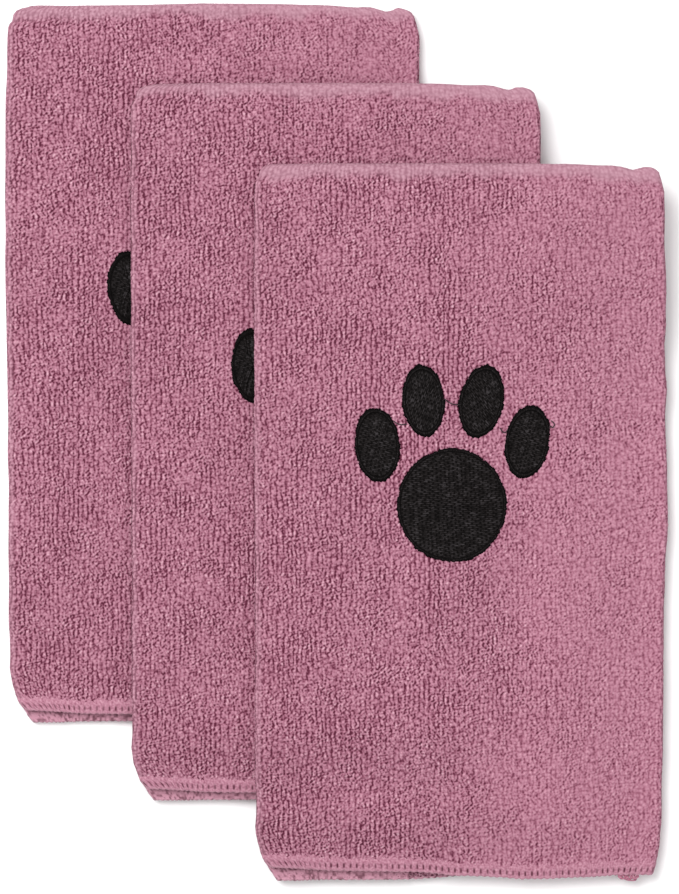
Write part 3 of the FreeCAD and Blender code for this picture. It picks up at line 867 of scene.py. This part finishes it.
def hem_material():
    m = Nodes("hem_thread")
    stitch_shade_and_mottle, lip = m.attr("stitch_shade_and_mottle"), m.attr("lip")
    wisps = m.noise(m.cloth(0.34, 2.2), 1.0, 3.0, 0.6)
    mottle = m.noise(m.cloth(3.2, 2.4), 1.0, 2.0, 0.5)
    curl = m.noise(m.cloth(1.2, 1.1), 1.0, 0.0, 0.5)
    f = m.math("MULTIPLY_ADD", mottle, 0.30, m.math("MULTIPLY", wisps, 0.35))
    f = m.math("MULTIPLY_ADD", m.math("SUBTRACT", curl, 0.5), 0.5, m.math("ADD", f, 0.175))
    base = m.ramp(f, [(0.22, lin(146, 86, 107)), (0.40, lin(174, 115, 135)), (0.55, lin(188, 131, 150)), (0.78, lin(208, 154, 171))])
    # lighter at the edge lip, and painted light on the back and plain sides where the upper leaf shades them
    col = m.mix(m.math("MULTIPLY", lip, 0.45, clamp=True), base, lin(207, 152, 170))
    # painted shade in the stitch cuts, and a dark mottle on the back
    col = m.mix(m.math("MULTIPLY", stitch_shade_and_mottle, 1.3, clamp=True), col, lin(88, 32, 52))
    m.link(col, m.p.inputs["Base Color"])
    m.p.inputs["Roughness"].default_value = 0.8
    m.p.inputs["Specular IOR Level"].default_value = 0.25
    m.p.inputs["Sheen Weight"].default_value = 0.10
    m.link(m.bump(m.math("ADD", f, m.math("MULTIPLY", mottle, 0.3)), 0.7, 0.0006), m.p.inputs["Normal"])
    return m.mat


def embroidery_material():
    m = Nodes("embroidery_thread")
    shade = m.attr("shade")
    strands = m.noise(m.cloth(0.28, 3.0), 1.0, 3.0, 0.6)
    patch = m.noise(m.cloth(4.0, 6.0), 1.0, 2.0, 0.5)
    # the shade attribute carries painted highlights on thread crests and painted shade in nicks and at the outline
    f = m.math("MULTIPLY_ADD", m.math("SUBTRACT", strands, 0.5), 1.3, shade)
    f = m.math("MULTIPLY_ADD", m.math("SUBTRACT", patch, 0.5), 0.5, f)
    col = m.ramp(f, [(0.0, lin(2, 1, 1)), (0.35, lin(6, 3, 3)), (0.62, lin(13, 9, 9)), (0.85, lin(32, 28, 28)), (1.0, lin(62, 58, 60))])
    m.link(col, m.p.inputs["Base Color"])
    m.p.inputs["Roughness"].default_value = 0.62
    m.p.inputs["Specular IOR Level"].default_value = 0.07
    m.link(m.bump(m.math("ADD", strands, m.math("MULTIPLY", shade, 0.8)), 0.9, 0.0004), m.p.inputs["Normal"])
    return m.mat


def thread_material(name, colours):
    m = Nodes(name)
    tc = m.t.nodes.new("ShaderNodeTexCoord")
    n = m.t.nodes.new("ShaderNodeTexNoise")
    n.inputs["Scale"].default_value = 1600
    n.inputs["Detail"].default_value = 2
    m.link(tc.outputs["Object"], n.inputs["Vector"])
    m.link(m.ramp(n.outputs["Fac"], [(0.3, colours[0]), (0.7, colours[1])]), m.p.inputs["Base Color"])
    m.p.inputs["Roughness"].default_value = 0.7
    m.link(m.bump(n.outputs["Fac"], 0.5, 0.0002), m.p.inputs["Normal"])
    return m.mat


TERRY, HEMS, STITCH = terry_material(), hem_material(), embroidery_material()
BLACK = thread_material("embroidery_tail", [lin(10, 5, 7), lin(30, 16, 21)])
PINK = thread_material("hem_tail", [lin(160, 84, 110), lin(206, 138, 160)])


def put(ob, mat):
    ob.data.materials.clear()
    ob.data.materials.append(mat)


# ---- the pieces --------------------------------------------------------------
for i in range(3):
    n = NAMES[i]
    cloth = build_cloth(i)
    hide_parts(n + "_lower_back_panel", n + "_lower_left_flap", n + "_lower_right_flap", n + "_fold_roll",
                n + "_upper_face_panel", n + "_upper_left_flap", n + "_upper_right_flap")
    put(cloth, TERRY)
    for leaf in ("lower", "upper"):
        for make in (end_hem, side_hems):
            hem = make(i, leaf)
            put(hem, HEMS)
    for key in PARTS:
        put(stitched(i, key), STITCH)
    put(threads(n + "_loose_threads", i, JUMPS, 0.27, n + "_upper", n + "_jump_threads"), BLACK)
put(threads("front_hem_tail", 2, TAIL, 0.34, "front_upper", "front_thread_tail"), PINK)

# ---- floor, lights, camera ---------------------------------------------------
scene = bpy.context.scene
scene.view_settings.view_transform = "Standard"
scene.view_settings.look = "None"

bpy.ops.mesh.primitive_plane_add(size=9.0, location=(0, 0, -0.00005))
floor = bpy.context.object
floor.name = "floor"
m = Nodes("pale_floor")
tc = m.t.nodes.new("ShaderNodeTexCoord")
n = m.t.nodes.new("ShaderNodeTexNoise")
n.inputs["Scale"].default_value = 6
m.link(tc.outputs["Object"], n.inputs["Vector"])
m.link(m.ramp(n.outputs["Fac"], [(0.3, (0.90, 0.90, 0.90, 1)), (0.7, (0.92, 0.92, 0.92, 1))]), m.p.inputs["Base Color"])
m.p.inputs["Roughness"].default_value = 0.9
m.p.inputs["Specular IOR Level"].default_value = 0.1
floor.data.materials.append(m.mat)
floor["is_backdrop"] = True


def area(name, loc, target, size, power):
    light = bpy.data.lights.new(name, "AREA")
    light.shape = "DISK"
    light.size = size
    light.energy = power
    ob = bpy.data.objects.new(name, light)
    scene.collection.objects.link(ob)
    ob.location = loc
    d = np.array(target) - np.array(loc)
    import mathutils
    ob.rotation_euler = mathutils.Vector(d.tolist()).to_track_quat("-Z", "Y").to_euler()
    return ob


area("key", (-0.92, 0.98, 2.4), (0, 0, 0), 1.9, 74)
area("fill", (0.5, -0.4, 2.9), (0, 0, 0), 2.2, 12)
world = bpy.data.worlds.new("studio")
world.use_nodes = True
world.node_tree.nodes["Background"].inputs[0].default_value = (1, 1, 1, 1)
world.node_tree.nodes["Background"].inputs[1].default_value = 0.73
scene.world = world

AWAY = 6.0
cam = bpy.data.cameras.new("camera")
cam.sensor_width = 36
cam.sensor_fit = "AUTO"
cam.lens = 36 * (AWAY - 0.02) / 0.4747
cam.clip_end = 50
cam_ob = bpy.data.objects.new("camera", cam)
scene.collection.objects.link(cam_ob)
cam_ob.location = (0.00193, -0.00197, AWAY)
cam_ob.rotation_euler = (0, 0, 0)
scene.camera = cam_ob


def plain(v):
    return [[float(c) for c in row] for row in v] if hasattr(v[0], "__len__") else [float(c) for c in v]


bpy.context.view_layer.update()
{"cad": plain(cad_box), "visual": plain(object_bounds())}
